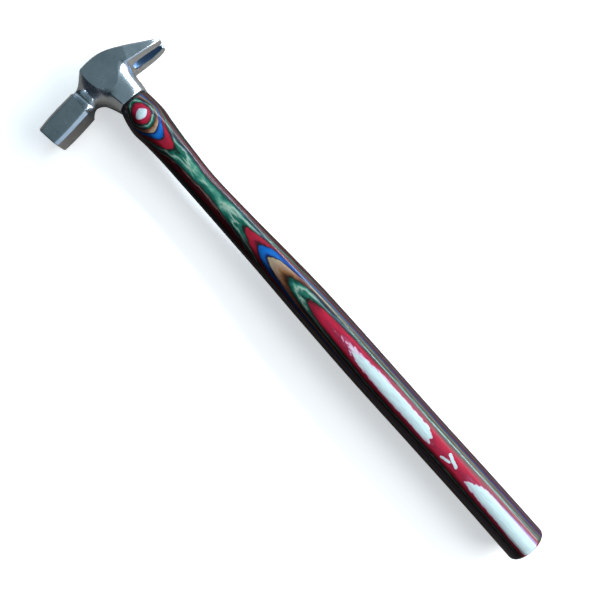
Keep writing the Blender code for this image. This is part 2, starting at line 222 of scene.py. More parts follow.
def shade_smooth(mesh, sharp):
    """Smooth shading, except across edges steeper than sharp degrees."""
    mesh.shade_smooth()
    mesh.set_sharp_from_angle(angle=math.radians(sharp))


def read_points(mesh):
    """The mesh's vertices in millimetres, with Z from the hammer's middle plane."""
    points = np.empty(len(mesh.vertices) * 3, np.float32)
    mesh.vertices.foreach_get("co", points)
    return points.reshape(-1, 3).astype(float) / MM - (0, 0, MIDDLE)


def store(mesh, name, values):
    """Keeps a number for each vertex, for a material to read."""
    attribute = mesh.attributes.new(name, "FLOAT", "POINT")
    attribute.data.foreach_set("value", values.astype(np.float32))


def bridge(bm, loops):
    """Faces from each loop of vertices to the next, which is as long."""
    sides = len(loops[0])
    for first, second in zip(loops, loops[1:]):
        for n in range(sides):
            m = (n + 1) % sides
            bm.faces.new((first[n], first[m], second[m], second[n]))


def loft(rings):
    """A closed bmesh through rings of points."""
    bm = bmesh.new()
    loops = [[bm.verts.new(point) for point in ring] for ring in rings]
    bridge(bm, loops)
    bm.faces.new(loops[0][::-1])
    bm.faces.new(loops[-1])
    bmesh.ops.recalc_face_normals(bm, faces=bm.faces)
    return bm


def oval(x, half_y, half_z, centre, sides):
    """Points of an oval across the handle at x."""
    turns = (np.arange(sides) + 0.5) * 2 * math.pi / sides
    return np.stack(
        (np.full(sides, x), centre + half_y * np.cos(turns), half_z * np.sin(turns)), axis=1
    )


# ------------ materials


MIX_FIRST, MIX_SECOND, MIX_RESULT = 6, 7, 2  # the colour sockets among all of a Mix node's


class Nodes:
    """A node tree being wired up: short calls for the nodes that are used more than once."""

    def __init__(self, tree):
        self.tree = tree

    def node(self, kind, **settings):
        made = self.tree.nodes.new("ShaderNode" + kind)
        for key, value in settings.items():
            setattr(made, key, value)
        return made

    def put(self, value, socket):
        if isinstance(value, bpy.types.NodeSocket):
            self.tree.links.new(value, socket)
        else:
            socket.default_value = value

    def fill(self, node, **values):
        """Sets or links the node's sockets, by their names in lower case."""
        for key, value in values.items():
            name = key.replace("_", " ").title().replace("Ior", "IOR")
            self.put(value, node.inputs[name])
        return node

    def math(self, operation, *values):
        made = self.node("Math", operation=operation)
        for value, socket in zip(values, made.inputs):
            self.put(value, socket)
        return made.outputs[0]

    def ramp(self, factor, stops):
        """Colours along the factor, each stop a place and a colour."""
        made = self.fill(self.node("ValToRGB"), fac=factor)
        elements = made.color_ramp.elements
        while len(elements) < len(stops):
            elements.new(0.5)
        for element, (position, colour) in zip(elements, stops):
            element.position = position
            element.color = (*colour, 1.0)
        return made.outputs["Color"]

    def range(self, factor, low, high, to_low=0.0, to_high=1.0):
        ends = {"from_min": low, "from_max": high, "to_min": to_low, "to_max": to_high}
        return self.fill(self.node("MapRange"), value=factor, **ends).outputs["Result"]

    def mix(self, factor, first, second, blend="MIX"):
        made = self.node("Mix", data_type="RGBA", blend_type=blend)
        self.put(factor, made.inputs["Factor"])
        self.put(first, made.inputs[MIX_FIRST])
        self.put(second, made.inputs[MIX_SECOND])
        return made.outputs[MIX_RESULT]


class Look(Nodes):
    """A material being wired up."""

    def __init__(self, name):
        self.material = bpy.data.materials.new(name)
        self.material.use_nodes = True
        super().__init__(self.material.node_tree)
        self.shader = self.tree.nodes["Principled BSDF"]

    def place(self, spread, turn=(0.0, 0.0, 0.0)):
        """The piece's own coordinates, in steps of so many millimetres along each axis."""
        coords = self.node("TexCoord").outputs["Object"]
        scale = [1 / (MM * size) for size in spread]
        made = self.fill(self.node("Mapping"), vector=coords, rotation=turn, scale=scale)
        return made.outputs[0]

    def noise(self, spread, turn=(0.0, 0.0, 0.0), **values):
        """Noise with grains of that size, in millimetres, and a pattern of its own for each w."""
        settings = {"w": 0.0, "scale": 1.0, "detail": 2.0, "roughness": 0.5, "distortion": 0.0}
        made = self.node("TexNoise", noise_dimensions="4D")
        self.fill(made, vector=self.place(spread, turn), **settings | values)
        return made.outputs["Fac"]

    def sway(self, noise, most):
        """The noise about 0, stretched by most."""
        return self.math("MULTIPLY", self.math("SUBTRACT", noise, 0.5), most)

    def bump(self, height, distance, under=None):
        made = self.fill(self.node("Bump"), height=height, distance=distance * MM, strength=1.0)
        if under is not None:
            self.fill(made, normal=under)
        return made.outputs["Normal"]

    def finish(self, **values):
        self.fill(self.shader, **values)
        return self.material


def rgb(code):
    """Linear colour from a six-digit hex code of the shade as it is seen."""
    parts = [int(code[i : i + 2], 16) / 255 for i in (0, 2, 4)]
    return tuple(((p + 0.055) / 1.055) ** 2.4 if p > 0.04045 else p / 12.92 for p in parts)


# Shades through each colour of veneer, from its face nearer the middle of the stack, at 0, to
# its outer face, at 1. The inner white sheets are soaked with the red dye beside them.
SHADES = {
    "white": ((0.0, 0.06, 0.15, 0.5, 1.0), "c87d9c d9b6c8 c9d9da cde0e0 d8e8e8"),
    "soaked": ((0.0, 0.35, 0.5, 0.75, 1.0), "2c0d0c 4a1a16 c08a82 d0aea4 8f6a62"),
    "crimson": ((0.0, 0.08, 0.4, 0.65, 0.85, 1.0), "6a1422 84182c ab1a36 b51f3c 93213b a93c58"),
    "green": (
        (0.0, 0.14, 0.3, 0.44, 0.54, 0.62, 0.72, 0.88, 1.0),
        "0b3a30 0b4a40 1c6153 4c8874 8ba692 8fa595 2f6455 155d4d 0b3126",
    ),
    "tan": ((0.0, 0.08, 0.4, 0.62, 0.8, 1.0), "6c5642 a89779 9c7966 87613a 6a412b 3c1d09"),
    "blue": ((0.0, 0.08, 0.45, 0.7, 0.92, 1.0), "0c2a66 0a4a96 0a68b8 1a5ca6 0c2c72 081a52"),
    "red": ((0.0, 0.05, 0.14, 0.5, 0.8, 1.0), "4c0c12 74121e 92152a a0182e 8e1830 4a0a18"),
}
WANDER = {"white": 0.2, "soaked": 2.6, "green": 1.25}  # how far a shade strays in patches
WANDER_ELSE = 0.9
STREAK_WANDER = 0.35
INNER_PAINTED_SHADE = 0.42  # painted shade: the sheets that only show on the narrow sides are made this much darker
INNER = range(7, 17)
# Painted shade and painted reflection on the handle's narrow sides: darker towards -Y, and purple,
# grey-green and blue tints towards +Y for the sheen there. Places along Y, and the tint at each.
# The tenon and the butt's end stay plain.
PAINTED_SIDE_LIGHT = (
    (-9.5, (0.2, 0.12, 0.13)),
    (-6.0, (0.2, 0.14, 0.15)),
    (-4.4, (0.38, 0.2, 0.22)),
    (-2.8, (1.0, 1.0, 1.0)),
    (3.4, (1.0, 1.0, 1.0)),
    (4.3, (0.42, 0.17, 0.5)),
    (5.6, (0.5, 0.56, 0.52)),
    (7.0, (0.28, 0.34, 0.26)),
    (8.1, (0.3, 0.28, 0.2)),
    (9.5, (0.3, 0.2, 0.34)),
)
PAINTED_SIDE_LIGHT_END = (BUTT - 1.6, BUTT - 0.3)  # X over which the painted side shade and reflection fade out at the butt
FLOOR_BOUNCE = (0.28, 0.235, 0.2)
FLOOR_GLOW = 0.5
GLUE_DARK = (0.012, 0.009, 0.008)
GLUE_REACH = 0.065  # how far the dark glue soaks into a sheet
GLUE_MOST = 0.94
SLOT_SHADE_COLOUR = (0.06, 0.11, 0.2)  # painted shade inside the claw's slot, in blue-black


def glued_dark(k):
    """Whether dark glue joins sheet k to the one under it. White and crimson fade together."""
    pair = {STACK[k][0], STACK[k + 1][0]} if 0 <= k < len(STACK) - 1 else set()
    return pair != {"white", "crimson"}


def veneer_look(colour, thickness, k):
    """Dyed wood under clear lacquer: deep and pale layers, streaks along the grain, dark glue, and
    painted shade and reflection tints on the narrow sides.
    """
    look = Look(f"dyed_veneer_{k + 1:02d}_{colour}")
    depth = look.node("Attribute", attribute_name="depth").outputs["Fac"]
    rise = look.math("SUBTRACT", 1.0, depth)
    outward = depth if k < len(STACK) // 2 else rise
    seed = 3.7 * k
    blotch = look.noise((8.0, 2.6, 2.6), detail=3.0, distortion=0.6, w=seed)
    streak = look.noise((8.0, 0.6, 0.6), detail=3.0, roughness=0.6, w=seed + 1)
    fibre = look.noise((3.0, 0.16, 0.16), w=seed + 2)
    tones = "soaked" if colour == "white" and k in INNER else colour
    stray = look.sway(blotch, WANDER.get(tones, WANDER_ELSE))
    stray = look.math("ADD", stray, look.sway(streak, STREAK_WANDER))
    layer = look.math("ADD", outward, stray)
    places, codes = SHADES[tones]
    shade = look.ramp(layer, list(zip(places, map(rgb, codes.split()))))
    tone = look.range(streak, 0.3, 0.7, 0.85, 1.12)
    tone = look.math("MULTIPLY", tone, look.range(fibre, 0.25, 0.75, 0.88, 1.1))
    # Painted shade: the sheets that only show on the narrow sides are darkened.
    if k in INNER:
        tone = look.math("MULTIPLY", tone, INNER_PAINTED_SHADE)
    across = look.node("SeparateXYZ")
    look.put(look.place((1.0, 1.0, 1.0)), across.inputs[0])
    shade = look.mix(1.0, shade, tone, "MULTIPLY")
    # Painted shade and painted reflection: tints along Y darken the -Y side and colour the +Y side,
    # outside the eye and short of the butt's end.
    low, high = PAINTED_SIDE_LIGHT[0][0], PAINTED_SIDE_LIGHT[-1][0]
    place = look.range(across.outputs["Y"], low, high)
    painted_side_light = look.ramp(place, [((y - low) / (high - low), tint) for y, tint in PAINTED_SIDE_LIGHT])
    painted_side_reach = look.range(across.outputs["X"], MOUTH, SHOULDER)
    before_end = look.range(across.outputs["X"], *PAINTED_SIDE_LIGHT_END, 1.0, 0.0)
    painted_side_reach = look.math("MULTIPLY", painted_side_reach, before_end)
    shade = look.mix(painted_side_reach, shade, painted_side_light, "MULTIPLY")
    # Dark glue soaks into a sheet from both its faces, and its edge follows the fibres.
    reach = GLUE_REACH / thickness
    fray = look.sway(fibre, 0.5 * reach)
    for distance, dark in ((depth, glued_dark(k)), (rise, glued_dark(k - 1))):
        if dark:
            edge = look.math("ADD", distance, fray)
            soaked = look.range(edge, 0.3 * reach, reach, GLUE_MOST, 0.0)
            shade = look.mix(soaked, shade, (*GLUE_DARK, 1.0))
    rough = look.range(streak, 0.2, 0.8, 0.34, 0.5)
    height = look.math("ADD", look.math("MULTIPLY", fibre, 0.5), streak)
    return look.finish(
        base_color=shade,
        roughness=rough,
        normal=look.bump(height, 0.012),
        specular_ior_level=0.15,
        coat_weight=0.3,
        coat_roughness=0.07,
        coat_ior=1.5,
    )


def steel_look():
    """Polished forged steel with grinding marks, fine scratches, faint smudges and painted shade in
    the claw's slot.
    """
    look = Look("polished_steel")
    smudge = look.noise((9.0, 9.0, 9.0), detail=4.0, roughness=0.6, distortion=0.4)
    cloud = look.noise((2.2, 2.2, 2.2), detail=4.0, roughness=0.65, w=4.0)
    turn = (0.0, 0.0, 0.35)
    grind = look.noise((0.12, 5.0, 0.12), detail=3.0, roughness=0.7, turn=turn, w=1.0)
    scratch = look.noise((7.0, 0.07, 7.0), turn=(0.0, 0.0, -0.6), w=2.0)
    colour = look.ramp(
        look.math("ADD", look.math("MULTIPLY", smudge, 0.6), look.math("MULTIPLY", cloud, 0.4)),
        [(0.3, (0.64, 0.69, 0.73)), (0.55, (0.76, 0.80, 0.83)), (0.75, (0.82, 0.85, 0.87))],
    )
    smudged = look.range(smudge, 0.3, 0.7, 0.13, 0.24)
    rough = look.math("ADD", smudged, look.range(grind, 0.4, 0.75, 0.0, 0.08))
    # Painted shade: the inside of the claw's slot, marked by the scale attribute, is made
    # blue-black and rougher.
    scale = look.node("Attribute", attribute_name="scale").outputs["Fac"]
    patchy = look.range(look.math("ADD", cloud, look.math("MULTIPLY", scale, 0.5)), 0.5, 0.85)
    slot_shade = look.math("MULTIPLY", scale, patchy)
    colour = look.mix(slot_shade, colour, (*SLOT_SHADE_COLOUR, 1.0))
    rough = look.math("ADD", rough, look.math("MULTIPLY", slot_shade, 0.15))
    scored = look.bump(grind, 0.003)
    scored = look.bump(scratch, 0.002, under=scored)
    return look.finish(
        base_color=colour,
        metallic=1.0,
        roughness=rough,
        normal=look.bump(cloud, 0.01, under=scored),
    )


def wedge_steel_look():
    """The cut ends of mild-steel wedges, hammered flush and dull."""
    look = Look("wedge_steel")
    pits = look.noise((0.5, 0.5, 0.5), detail=5.0, roughness=0.7)
    file_marks = look.noise((2.0, 0.1, 4.0), turn=(0.5, 0.0, 0.0), w=1.0)
    colour = look.ramp(
        pits, [(0.3, (0.16, 0.15, 0.14)), (0.6, (0.36, 0.36, 0.36)), (0.8, (0.5, 0.5, 0.5))]
    )
    return look.finish(
        base_color=colour,
        metallic=1.0,
        roughness=look.range(pits, 0.3, 0.7, 0.32, 0.6),
        normal=look.bump(file_marks, 0.01, under=look.bump(pits, 0.03)),
    )


def wedge_wood_look():
    """Pale hardwood seen on its end grain."""
    look = Look("wedge_wood")
    rings = look.noise((6.0, 7.0, 0.45), detail=3.0, distortion=0.3)
    pores = look.noise((3.0, 0.14, 0.14), w=1.0)
    colour = look.ramp(rings, [(0.3, rgb("8f6a42")), (0.5, rgb("b78e5c")), (0.7, rgb("cda877"))])
    colour = look.mix(look.range(pores, 0.62, 0.72, 0.0, 0.6), colour, (*rgb("4a3420"), 1.0))
    return look.finish(
        base_color=colour,
        roughness=look.range(pores, 0.3, 0.7, 0.5, 0.7),
        normal=look.bump(pores, 0.03),
    )


def adhesive_and_shade_look():
    """Black adhesive, smeared smooth, with dust on it; its black is partly painted shade in the
    joint between head and handle.
    """
    look = Look("adhesive")
    lumps = look.noise((1.6, 1.6, 1.6), detail=3.0)
    dust = look.noise((0.5, 0.5, 0.5), detail=4.0, w=1.0)
    colour = look.ramp(dust, [(0.4, (0.008, 0.008, 0.009)), (0.75, (0.05, 0.045, 0.04))])
    return look.finish(
        base_color=colour,
        roughness=look.range(lumps, 0.3, 0.7, 0.25, 0.55),
        normal=look.bump(lumps, 0.08),
    )


def floor_look():
    """A pale lit floor to look at, which casts back little light, as a dark ground does."""
    look = Look("floor")
    tone = look.noise((60.0, 60.0, 60.0))
    pale = look.ramp(tone, [(0.3, (0.86, 0.86, 0.86)), (0.7, (0.9, 0.9, 0.9))])
    seen = look.node("LightPath").outputs["Is Camera Ray"]
    return look.finish(
        base_color=look.mix(seen, (*FLOOR_BOUNCE, 1.0), pale),
        roughness=0.9,
        emission_color=(1.0, 1.0, 1.0, 1.0),
        emission_strength=look.math("MULTIPLY", seen, FLOOR_GLOW),
    )


# ------------ head

# Half sections of the head, from the striking face to the claw's tip: Y and X of the top
# and of the bottom, half thickness, chamfers at the top and at the bottom, and half the
# width of the claw's slot, which opens out towards the handle.
Station = namedtuple("Station", "y_top y_low x_top x_low half cut_top cut_low slot_top slot_low")
STATIONS = {
    "face": Station(-46.5, -45.0, -6.7, 6.2, 8.0, 1.7, 1.7, 0, 0),
    "block": Station(-36.5, -36.0, -8.5, 6.0, 8.1, 1.7, 1.7, 0, 0),
    "block_end": Station(-21.0, -21.6, -9.4, 4.4, 8.2, 1.8, 1.9, 0, 0),
    "shoulder": Station(-20.3, -18.6, -9.9, 3.5, 5.7, 1.7, 3.3, 0, 0),
    "neck": Station(-17.8, -17.0, -10.2, 2.9, 5.0, 1.4, 3.2, 0, 0),
    "root": Station(-14.2, -14.8, -11.3, 2.2, 8.8, 1.3, 2.8, 0, 0),
    "front": Station(-9.8, -9.8, -13.9, 4.6, 12.8, 1.1, 6.6, 0, 0),
    "eye_front": Station(-5.9, -6.3, -14.3, 5.0, 12.8, 1.1, 0.3, 0, 0),
    "eye_mid": Station(0.4, 0.2, -14.4, 5.0, 12.8, 1.1, 0.3, 0, 0),
    "eye_back": Station(5.8, 5.4, -13.4, 0.6, 12.8, 1.1, 0.4, 0, 0),
    "back": Station(11.0, 10.2, -11.1, -1.2, 12.8, 1.1, 0.6, 0, 0),
    "slot_root": Station(15.4, 11.8, -8.9, -0.7, 12.6, 1.1, 0.6, 0, 0),
    "slot_flare": Station(17.6, 13.4, -7.8, -0.3, 12.3, 1.0, 0.6, 1.5, 4.4),
    "claw": Station(25.0, 24.0, -3.8, 0.8, 11.2, 0.9, 0.5, 1.8, 4.6),
    "claw_end": Station(30.2, 30.2, -1.1, 1.2, 10.0, 0.5, 0.4, 1.7, 3.2),
    "tip": Station(32.8, 32.8, 0.0, 1.0, 7.4, 0.3, 0.3, 1.6, 1.7),
}
NAMES = list(STATIONS)
SOCKETED = ("front", "eye_front", "eye_mid", "eye_back", "back")
SLOTTED = NAMES[NAMES.index("slot_root") :]
TOP_CENTRE, TOP_MID, TOP_EDGE, SIDE_TOP, SIDE_LOW, LOW_EDGE, LOW_CENTRE = range(7)
CORNER_COLUMN = 2  # the socket's front corner among the points of its rings
TOP_MID_SHARE = 0.55  # where TOP_MID lies, from the middle plane to the top's edge

# The socket that reaches down to the handle starts from the bottoms of those sections.
# Each ring below has its X, then (Y, Z) from its front to its back.
SOCKET_START = {"front": (4.4, -13.0, 0.0), "back": (1.0, 11.0, 0.0)}
SOCKET_CORNER = {"front": (4.4, -11.2, 7.0), "back": (1.2, 10.5, 8.4)}
SOCKET_RINGS = (
    (9.5, ((-10.3, 0), (-9.4, 6.2), (-5.2, 11.7), (0.4, 11.8), (5, 11.6), (10.3, 7.6), (10.8, 0))),
    (MOUTH, ((-8.6, 0), (-7.9, 5.6), (-4.3, 9.9), (0.5, 10.1), (4.6, 9.9), (9.5, 6.4), (10, 0))),
)

# How sharp the cage's edges stay: stations from, stations to, rows of the ring, amount.
CREASES = (
    ("face", "block_end", (TOP_EDGE, SIDE_TOP, SIDE_LOW, LOW_EDGE), 0.8),
    ("front", "tip", (TOP_EDGE, SIDE_TOP), 0.85),
    ("front", "eye_front", (SIDE_LOW,), 0.75),
    ("back", "tip", (SIDE_LOW, LOW_EDGE), 0.85),
    ("slot_root", "tip", (TOP_CENTRE, LOW_CENTRE), 0.9),
)
ROUND_CREASES = {"face": 0.85, "block_end": 1.0, "tip": 0.8}
FRONT_CREASE = 0.8  # round the front of the cheek, and on down the socket's front corner
MOUTH_CREASE = 0.9
GROUND = 0.001  # how near a ground cheek's plane a vertex counts as lying on it
GROUND_ANGLE = 7.0  # a shallower edge round a ground cheek is polished away
SLOT_SHADE_SPILL = 0.4  # how far the slot's painted shade fades out over its lips
SLOT_SHADE_START = (1.0, 2.5)  # where it sets in, from the slot's root on


def head_ring(name):
    """Half the section at a station, from the top's middle round to the bottom's."""
    at = STATIONS[name]

    def point(x, z):
        share = (x - at.x_top) / (at.x_low - at.x_top)
        return Vector((x, at.y_top + (at.y_low - at.y_top) * share, z))

    top_edge = at.half - at.cut_top
    ring = [
        point(at.x_top, at.slot_top),
        point(at.x_top, at.slot_top + TOP_MID_SHARE * (top_edge - at.slot_top)),
        point(at.x_top, top_edge),
        point(at.x_top + at.cut_top, at.half),
        point(at.x_low - at.cut_low, at.half),
        point(at.x_low, at.half - at.cut_low),
        point(at.x_low, at.slot_low),
    ]
    if name in SOCKET_START:
        ring[LOW_CENTRE] = Vector(SOCKET_START[name])
        ring[LOW_EDGE] = Vector(SOCKET_CORNER[name])
    return ring


def skin_stations(bm, rings):
    """Faces along the head, with a wall to the slot and an opening where the socket starts."""
    for here, there in zip(NAMES, NAMES[1:]):
        a, b = rings[here], rings[there]
        open_below = here in SOCKETED[:-1]
        for k in range(LOW_EDGE if open_below else LOW_CENTRE):
            bm.faces.new((a[k], a[k + 1], b[k + 1], b[k]))
        if here in SLOTTED:
            bm.faces.new((a[LOW_CENTRE], a[TOP_CENTRE], b[TOP_CENTRE], b[LOW_CENTRE]))
    for name in (NAMES[0], NAMES[-1]):
        top_centre, top_mid, top_edge, side_top, side_low, low_edge, low_centre = rings[name]
        bm.faces.new((top_centre, top_mid, low_edge, low_centre))
        bm.faces.new((top_mid, top_edge, low_edge))
        bm.faces.new((top_edge, side_top, side_low, low_edge))


def skin_socket(bm, rings):
    """Faces down the socket and across its mouth, and the outlines of the socket's rings."""
    loop = [rings[SOCKETED[0]][LOW_CENTRE]]
    loop += [rings[name][LOW_EDGE] for name in SOCKETED]
    loop += [rings[SOCKETED[-1]][LOW_CENTRE]]
    last = len(loop) - 1
    lower_loops = []
    for x, outline in SOCKET_RINGS:
        lower = [bm.verts.new((x, y, z)) for y, z in outline]
        for k in range(last):
            bm.faces.new((loop[k], loop[k + 1], lower[k + 1], lower[k]))
        lower_loops.append(lower)
        loop = lower
    half = last // 2
    for k in range(half - 1):
        bm.faces.new((loop[k], loop[k + 1], loop[last - 1 - k], loop[last - k]))
    bm.faces.new(loop[half - 1 : half + 2])
    return lower_loops


def crease(bm, layer, first, second, amount):
    edge = bm.edges.get((first, second))
    if edge:
        edge[layer] = amount


def crease_head(bm, rings, mouth, socket_corner):
    layer = bm.edges.layers.float.new("crease_edge")
    for start, end, rows, amount in CREASES:
        run = NAMES[NAMES.index(start) : NAMES.index(end) + 1]
        for here, there in zip(run, run[1:]):
            for k in rows:
                crease(bm, layer, rings[here][k], rings[there][k], amount)
    for name, amount in ROUND_CREASES.items():
        for first, second in zip(rings[name], rings[name][1:]):
            crease(bm, layer, first, second, amount)
    for first, second in zip(mouth, mouth[1:]):
        crease(bm, layer, first, second, MOUTH_CREASE)
    corner = rings["front"][TOP_EDGE : SIDE_LOW + 1]
    corner += [rings["eye_front"][LOW_EDGE], *socket_corner]
    for first, second in zip(corner, corner[1:]):
        crease(bm, layer, first, second, FRONT_CREASE)


def head_cage():
    """The coarse half of the head, open at its middle plane."""
    bm = bmesh.new()
    rings = {name: [bm.verts.new(p) for p in head_ring(name)] for name in NAMES}
    skin_stations(bm, rings)
    socket = skin_socket(bm, rings)
    crease_head(bm, rings, socket[-1], [loop[CORNER_COLUMN] for loop in socket])
    bmesh.ops.recalc_face_normals(bm, faces=bm.faces)
    return bm


def ground_slab():
    """A slab as thick as the head, whose two sides grind the cheeks flat."""
    reach = 4 * CHEEK_HALF
    bm = bmesh.new()
    bmesh.ops.create_cube(bm, size=1.0)
    bmesh.ops.scale(bm, verts=bm.verts, vec=(2 * reach, 2 * reach, 2 * CHEEK_HALF))
    return new_object("ground_slab", bm)


def eye_cutter():
    """The oval hole, run a little past both ends of the head."""
    ends = (HEAD_TOP - EYE_PAST, MOUTH + EYE_PAST)
    rings = [oval(x, *eye_halves(x), EYE_CENTRE, EYE_SIDES) for x in ends]
    return new_object("eye_cutter", loft(rings))


def sharpen_head(mesh):
    """Keeps the edges of the eye and of the ground cheeks sharp, and the rest smooth."""
    shade_smooth(mesh, HEAD_SHARP)
    heights = read_points(mesh)[:, 2]
    on_plane = np.abs(np.abs(heights) - CHEEK_HALF) < GROUND
    sides = {}
    for face in mesh.polygons:
        flat = all(on_plane[v] for v in face.vertices)
        for key in face.edge_keys:
            sides.setdefault(key, []).append((flat, face.normal.copy()))
    for edge in mesh.edges:
        (first, normal), (second, other) = sides[edge.key]
        if first != second and normal.angle(other) > math.radians(GROUND_ANGLE):
            edge.use_edge_sharp = True


def mark_slot_shade(mesh):
    """Marks the inside of the claw's slot for its painted blue-black shade."""
    rows = [STATIONS[name] for name in SLOTTED]
    starts = [row.y_low for row in rows]
    x, y, z = read_points(mesh).T
    share = np.clip((x - HEAD_TOP / 2) / (-HEAD_TOP / 2), 0, 1)
    half = np.interp(y, starts, [row.slot_top for row in rows]) * (1 - share)
    half += np.interp(y, starts, [row.slot_low for row in rows]) * share
    inside = 1 - step(half, half + SLOT_SHADE_SPILL, np.abs(z))
    inside *= step(starts[0] + SLOT_SHADE_START[0], starts[0] + SLOT_SHADE_START[1], y)
    # The scale attribute carries the slot's painted shade.
    store(mesh, "scale", inside)


def make_head():
    head = new_object("forged_head", head_cage())
    middle = add_object("head_middle", None)
    middle.location.z = MIDDLE * MM
    mirror = head.modifiers.new("Mirror", "MIRROR")
    mirror.use_axis = (False, False, True)
    mirror.mirror_object = middle
    mirror.use_clip = True
    mirror.merge_threshold = HEAD_WELD * MM
    subdivision = head.modifiers.new("Subdivision", "SUBSURF")
    subdivision.levels = HEAD_LEVELS
    subdivision.render_levels = HEAD_LEVELS
    helpers = [ground_slab(), eye_cutter()]
    boolean(head, helpers[0], "INTERSECT")
    boolean(head, helpers[1], "DIFFERENCE")
    apply_modifiers(head)
    remove([middle, *helpers])
    sharpen_head(head.data)
    mark_slot_shade(head.data)
    head.data.materials.append(steel_look())
    return head


# ------------ handle's skin


def crown(y):
    """X of the tenon's dressed end at y, a little under the head's top."""
    rows = [(STATIONS[name].y_top, STATIONS[name].x_top) for name in SOCKETED]
    return np.interp(y, *zip(*rows)) + CROWN_SINK


def tenon_ring(share, scale=1.0):
    """Ring of the tenon, from its dressed end at share 0 to the head's mouth at share 1."""
    x = HEAD_TOP + (MOUTH - HEAD_TOP) * share
    half_y, half_z = (half - TENON_CLEARANCE for half in eye_halves(x))
    ring = oval(x, half_y * scale, half_z * scale, EYE_CENTRE, AROUND)
    start = crown(ring[:, 1])
    ring[:, 0] = start + (MOUTH - start) * share
    return ring


def carved_ring(x, inset=0.0):
    """Ring of the carved handle at x, drawn in all round by an inset."""
    place = min(max(x, SHOULDER), BUTT)
    sizes = [float(half(place)) - inset for half in (half_width, half_thickness)]
    return oval(x, *sizes, float(centre_line(place)), AROUND)


def rounded(x, radius, into, count):
    """Rings over a rounded edge: (X, inset) pairs that start on the end's face."""
    turns = np.radians(np.linspace(90, 0, count))
    return [(x + into * radius * (1 - math.sin(t)), radius * (1 - math.cos(t))) for t in turns]


def tenon_rings():
    """Rings from the middle of the tenon's dressed end out to its edge and down to the mouth."""
    rings = [tenon_ring(0.0, scale) for scale in CAP_SCALES]
    return rings + [tenon_ring(share) for share in np.linspace(0, 1, TENON_ROWS)[1:]]


def handle_rings():
    """All the rings of the handle's skin, from the tenon's end to the middle of the butt."""
    rings = tenon_rings()
    foot = [half - TENON_CLEARANCE for half in EYE_MOUTH]
    rings.append(oval(SHOULDER, *foot, EYE_CENTRE, AROUND))
    shoulder = rounded(SHOULDER, SHOULDER_ROUND, 1, SHOULDER_ROWS)
    rings += [carved_ring(x, inset) for x, inset in shoulder]
    start, end = SHOULDER + SHOULDER_ROUND, BUTT - BUTT_ROUND
    steps = round((end - start) / ALONG)
    rings += [carved_ring(x) for x in np.linspace(start, end, steps)[1:-1]]
    butt = rounded(BUTT, BUTT_ROUND, -1, BUTT_ROWS)
    rings += [carved_ring(x, inset) for x, inset in butt[::-1]]
    edge = rings[-1]
    middle = edge.mean(axis=0)
    for scale in CAP_SCALES[::-1][1:]:
        ring = middle + (edge - middle) * scale
        ring[:, 0] = BUTT
        rings.append(ring)
    return rings


# ------------ veneers


# How the glue lines wander: seed of the draws, wavelengths along X and Y, and height
RIPPLES = {
    "stack": (5, 46, 15, 0.035),
    "line": (10, 21, 8, 0.04),
    "fine_line": (50, 5, 3, 0.022),
    "scallops": (70, 4.5, 2.4, 0.05),
    "ragged": (71, 8, 4, 0.9),
    "fine_ragged": (72, 2.6, 1.8, 0.45),
    "hook_x": (73, 9, 6, 0.2),
    "hook_y": (74, 9, 6, 0.1),
    "bead": (90, 1.3, 1.3, 0.05),
}
RIPPLE_WAVES = 6
RIPPLE_STRETCH = (0.6, 1.7)  # the waves' lengths, as shares of the wavelengths
SCALLOPS_FROM = (150, 190)  # X over which the scallops along the outer white sheet set in

# The stack leans across the handle by this much per millimetre: near the swell, at a place
# with a reach, and along the waist, between two slopes.
SWELL_LEAN, SWELL_LEAN_AT, SWELL_LEAN_REACH = 0.05, 24, 18
WAIST_LEAN, WAIST_LEAN_OVER = -0.12, ((42, 56), (95, 125))
WAIST_RISE = 0.18  # how much higher the glue line under the outer red sheet lies at the waist
WAIST_RISE_OVER = ((34, 58), (106, 124))
OUTER_RED = 5

# The gap near the butt where the crimson sheet shows through the outer white one
GAP_START, GAP_START_SLANT = (249.0, 253.5), 0.9
GAP_END, GAP_END_SLANT = (282.5, 288.5), -0.8
GAP_RISE = 0.62
FINGER, FINGER_AT, FINGER_REACH = 5.0, -1.8, 1.5  # the white finger that reaches back into it
# Two strokes of white left standing in the gap: X from and to, Y from and to, half width.
HOOK = ((263.8, 271.6, 2.0, -0.7, 0.7), (261.8, 267.6, -2.8, -1.3, 0.58))
HOOK_DROP, HOOK_MOST = 2.2, 1.1  # how far the strokes lower the glue line, and the most


def ripple(name, x, y, line=0):
    """Smooth wandering, within about its height, of its own for each line."""
    seed, along, across, height = RIPPLES[name]
    draws = random.Random(seed + line)
    total = np.zeros_like(x)
    for _ in range(RIPPLE_WAVES):
        length_x = along * draws.uniform(*RIPPLE_STRETCH)
        length_y = across * draws.uniform(*RIPPLE_STRETCH) * draws.choice((-1, 1))
        phase = draws.uniform(0, 2 * math.pi)
        total += np.sin(2 * math.pi * (x / length_x + y / length_y) + phase)
    return height * (total / math.sqrt(RIPPLE_WAVES))


def step(low, high, x):
    """0 below low and 1 above high, smoothly."""
    t = np.clip((x - low) / (high - low), 0, 1)
    return t * t * (3 - 2 * t)


def plateau(rise, fall, x):
    """1 between the slope of the rise and that of the fall, and 0 beyond them."""
    return step(*rise, x) * (1 - step(*fall, x))


def hump(x, centre, reach):
    return np.exp(-(((x - centre) / reach) ** 2))


def tilt(x, y):
    """How the stack leans a little across the handle, most at the waist."""
    lean = SWELL_LEAN * hump(x, SWELL_LEAN_AT, SWELL_LEAN_REACH)
    lean += WAIST_LEAN * plateau(*WAIST_LEAN_OVER, x)
    return lean * (y - centre_line(x))


